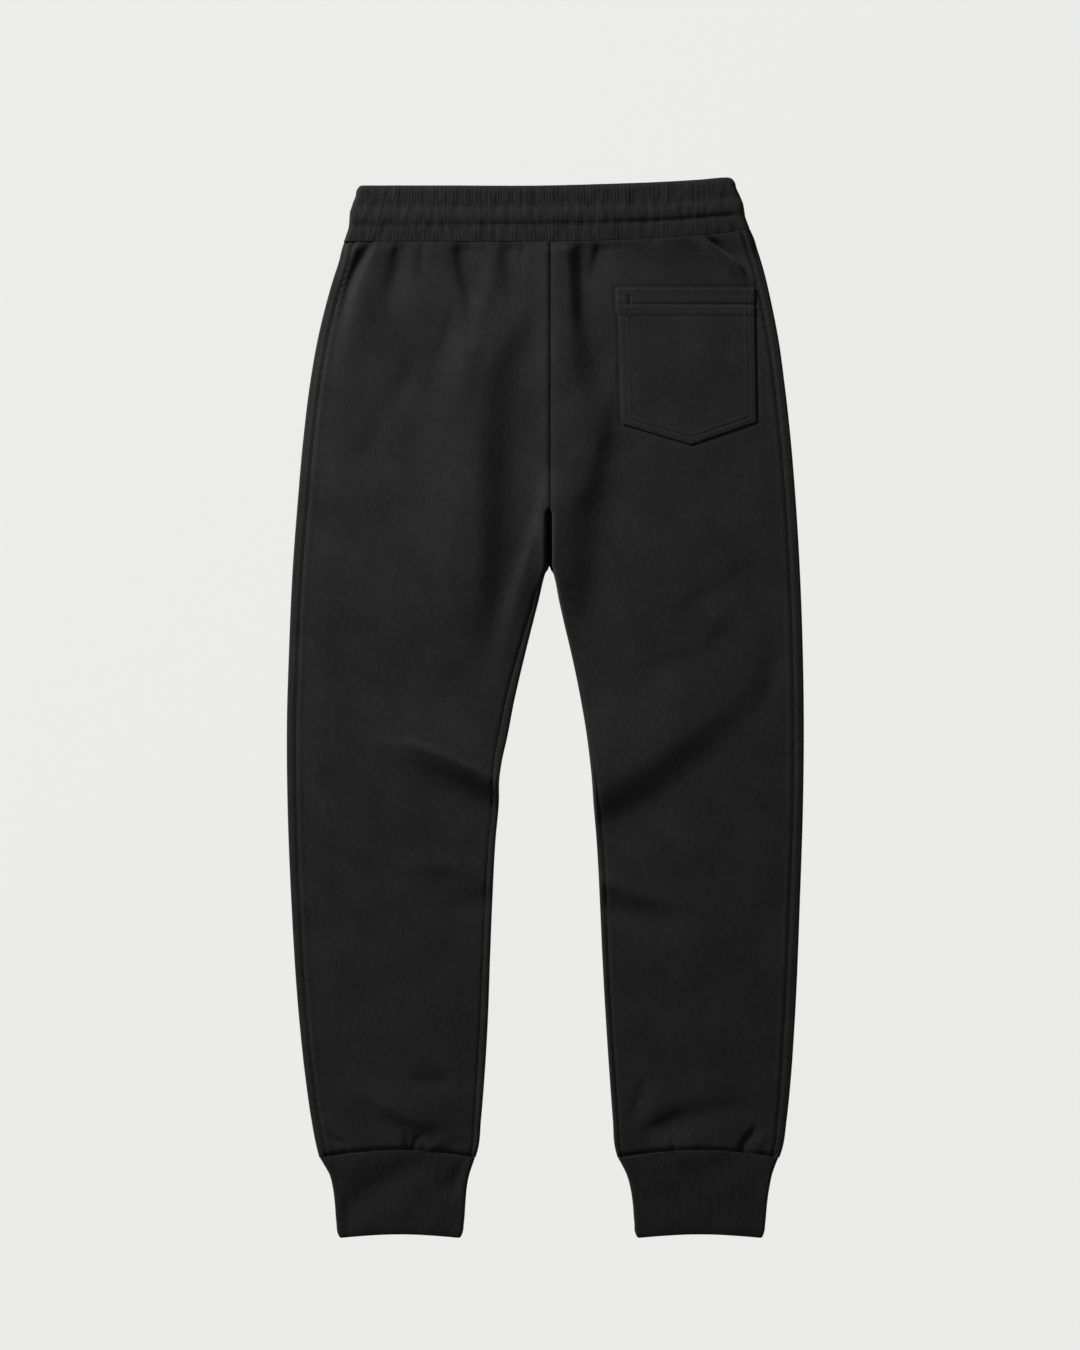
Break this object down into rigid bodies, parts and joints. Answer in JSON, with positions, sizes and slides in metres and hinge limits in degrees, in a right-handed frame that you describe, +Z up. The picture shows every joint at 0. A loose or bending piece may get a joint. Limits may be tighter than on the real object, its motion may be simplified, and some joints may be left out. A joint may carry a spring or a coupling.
{
  "type": "jogger sweatpants",
  "caption": "Black jogger sweatpants laid flat with the back side up: ribbed elastic waistband, tapered legs with soft knee creases, a patch back pocket and ribbed ankle cuffs.",
  "frame": {"origin": "centre of the garment's footprint, on the surface it lies on", "axes": "+Y from the ankle cuffs to the waistband, +Z up out of the surface through the back side of the trousers, +X towards the wearer's right leg"},
  "size_m": [0.5061, 1.037, 0.0116],
  "materials": {
    "sweat_jersey": "matte brushed-back cotton sweat jersey, black, with a fine knit face",
    "rib_knit": "matte doubled cotton rib knit, black, with elastic in the waistband",
    "sewing_thread": "black spun polyester sewing thread, slightly glossier than the cloth"
  },
  "bodies": {
    "root": {"front_left_panel": "sweat_jersey", "front_right_panel": "sweat_jersey", "back_left_panel": "sweat_jersey", "back_right_panel": "sweat_jersey", "back_pocket": "sweat_jersey", "waistband": "rib_knit", "cuff_left": "rib_knit", "cuff_right": "rib_knit"}
  },
  "joints": []
}
